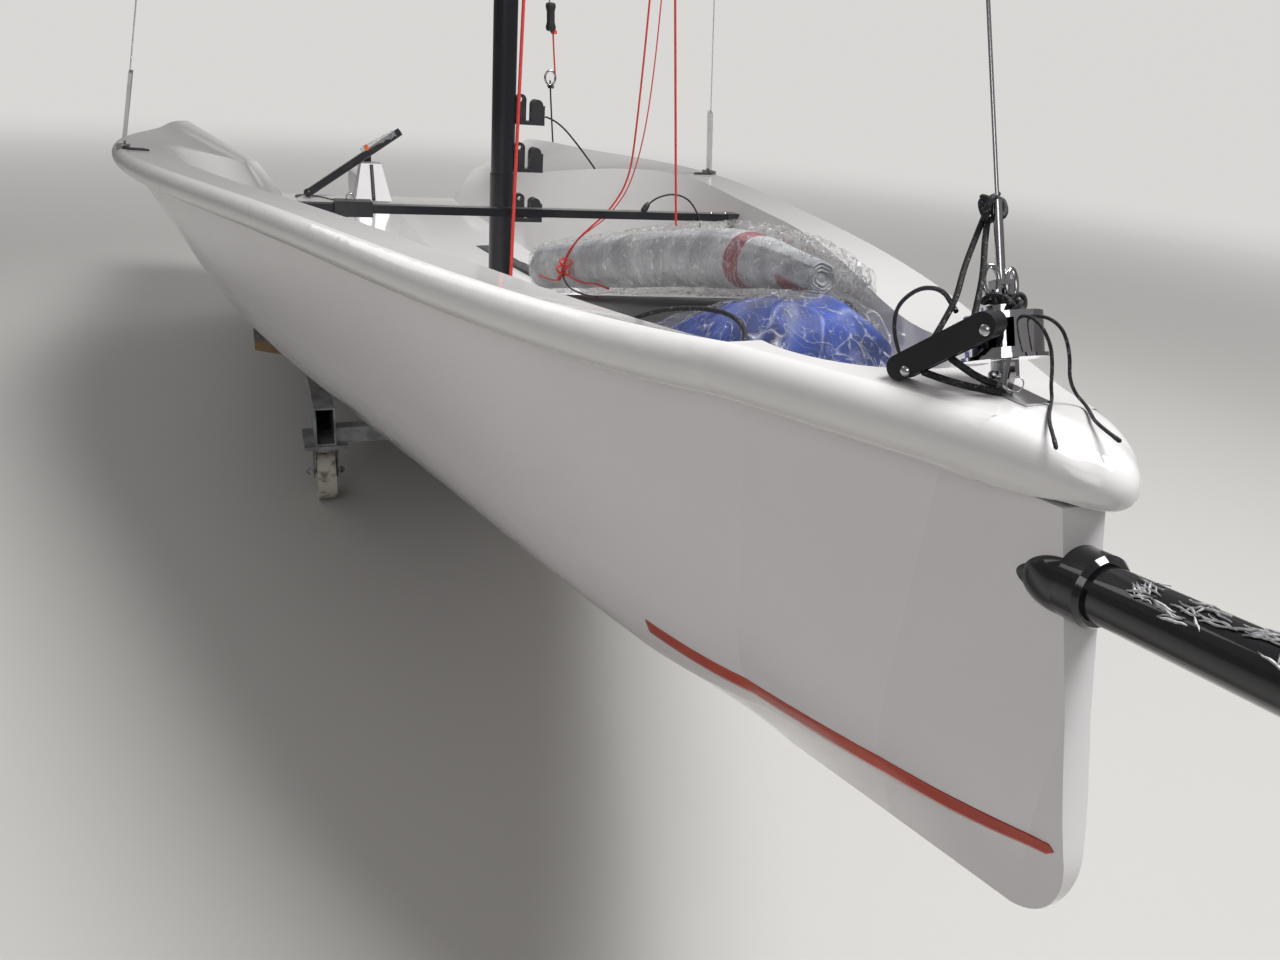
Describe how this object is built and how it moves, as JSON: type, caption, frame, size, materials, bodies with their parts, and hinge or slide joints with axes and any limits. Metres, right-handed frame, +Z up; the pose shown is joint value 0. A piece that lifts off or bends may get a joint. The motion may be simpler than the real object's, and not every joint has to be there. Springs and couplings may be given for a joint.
{
  "type": "sailing dinghy",
  "caption": "Open sailing dinghy in glossy white with a red stripe, black mast and bow pole, rolled sail and blue sail bag, on a padded steel cradle with castors",
  "frame": {"origin": "middle of the footprint's bounding box, on the floor under the castors", "axes": "+X towards the bow, +Y to port, +Z up"},
  "size_m": [6.12, 1.7196, 6.6363],
  "materials": {
    "gelcoat_white": "gloss white gelcoat over glass fibre",
    "gelcoat_deck": "gloss white gelcoat, fine-grained sole",
    "spar_black": "satin black anodised tube",
    "fitting_black": "matte black moulded plastic",
    "collar_black": "deep gloss black",
    "stainless": "polished stainless steel",
    "foil_white": "gloss white laminate",
    "webbing_black": "woven webbing",
    "sail_film": "rolled cloth in clear film",
    "bag_blue": "royal blue cloth in clear film",
    "cradle_zinc": "dull zinc grey",
    "pad_grey": "grey carpet on foam",
    "wood_chock": "plain sawn wood",
    "wheel_nylon": "off-white nylon, scuffed"
  },
  "bodies": {
    "boat": {"hull": "gelcoat_white", "deck": "gelcoat_deck", "board_case": "gelcoat_deck", "rudder_pod": "gelcoat_white", "gudgeons": "stainless", "tiller": "spar_black", "mast_step": "fitting_black", "mast_lower": "spar_black", "mast_upper": "spar_black", "masthead": "fitting_black", "spreaders": "spar_black", "mast_cleats": "fitting_black", "chainplates": "stainless", "shroud_port": "stainless", "shroud_starboard": "stainless", "deck_eye": "stainless", "furler_toggle": "stainless", "furler_drum": "stainless", "furler_arm": "spar_black", "furler_swivel": "stainless", "forestay": "stainless", "bowsprit": "collar_black", "bowsprit_collar": "collar_black", "boom": "spar_black", "boom_ends": "fitting_black", "jib_track": "spar_black", "track_car": "fitting_black", "hiking_straps": "webbing_black", "sail_roll": "sail_film", "sail_bag": "bag_blue", "cradle_frame": "cradle_zinc", "cradle_chocks": "wood_chock", "cradle_pads": "pad_grey", "castor_plates": "cradle_zinc"},
    "rudder": {"rudder_stock": "spar_black"},
    "rudder_blade": {"rudder_blade": "foil_white"},
    "centreboard": {"centreboard": "foil_white"},
    "castor_front_port": {"castor_fork_front_port": "cradle_zinc"},
    "wheel_front_port": {"castor_wheel_front_port": "wheel_nylon"},
    "castor_front_starboard": {"castor_fork_front_starboard": "cradle_zinc"},
    "wheel_front_starboard": {"castor_wheel_front_starboard": "wheel_nylon"},
    "castor_rear_port": {"castor_fork_rear_port": "cradle_zinc"},
    "wheel_rear_port": {"castor_wheel_rear_port": "wheel_nylon"},
    "castor_rear_starboard": {"castor_fork_rear_starboard": "cradle_zinc"},
    "wheel_rear_starboard": {"castor_wheel_rear_starboard": "wheel_nylon"}
  },
  "joints": [
    {"name": "rudder_steering", "type": "hinge", "parent": "boat", "child": "rudder", "pos_m": [-2.13505, 0, 0.499], "axis": [0, 0, 1], "range_deg": [-40, 40]},
    {"name": "rudder_lift", "type": "hinge", "parent": "rudder", "child": "rudder_blade", "pos_m": [-2.21005, 0, 0.357], "axis": [0, -1, 0], "range_deg": [0, 85]},
    {"name": "centreboard_pivot", "type": "hinge", "parent": "boat", "child": "centreboard", "pos_m": [0.03995, 0, 0.382], "axis": [0, -1, 0], "range_deg": [0, 75]},
    {"name": "castor_swivel_front_port", "type": "hinge", "parent": "boat", "child": "castor_front_port", "pos_m": [0.21995, 0.39, 0.181], "axis": [0, 0, 1], "continuous": true},
    {"name": "castor_roll_front_port", "type": "hinge", "parent": "castor_front_port", "child": "wheel_front_port", "pos_m": [0.17495, 0.39, 0.075], "axis": [0, 1, 0], "continuous": true},
    {"name": "castor_swivel_front_starboard", "type": "hinge", "parent": "boat", "child": "castor_front_starboard", "pos_m": [0.21995, -0.39, 0.181], "axis": [0, 0, 1], "continuous": true},
    {"name": "castor_roll_front_starboard", "type": "hinge", "parent": "castor_front_starboard", "child": "wheel_front_starboard", "pos_m": [0.17495, -0.39, 0.075], "axis": [0, 1, 0], "continuous": true},
    {"name": "castor_swivel_rear_port", "type": "hinge", "parent": "boat", "child": "castor_rear_port", "pos_m": [-1.69005, 0.39, 0.181], "axis": [0, 0, 1], "continuous": true},
    {"name": "castor_roll_rear_port", "type": "hinge", "parent": "castor_rear_port", "child": "wheel_rear_port", "pos_m": [-1.73505, 0.39, 0.075], "axis": [0, 1, 0], "continuous": true},
    {"name": "castor_swivel_rear_starboard", "type": "hinge", "parent": "boat", "child": "castor_rear_starboard", "pos_m": [-1.69005, -0.39, 0.181], "axis": [0, 0, 1], "continuous": true},
    {"name": "castor_roll_rear_starboard", "type": "hinge", "parent": "castor_rear_starboard", "child": "wheel_rear_starboard", "pos_m": [-1.73505, -0.39, 0.075], "axis": [0, 1, 0], "continuous": true}
  ]
}
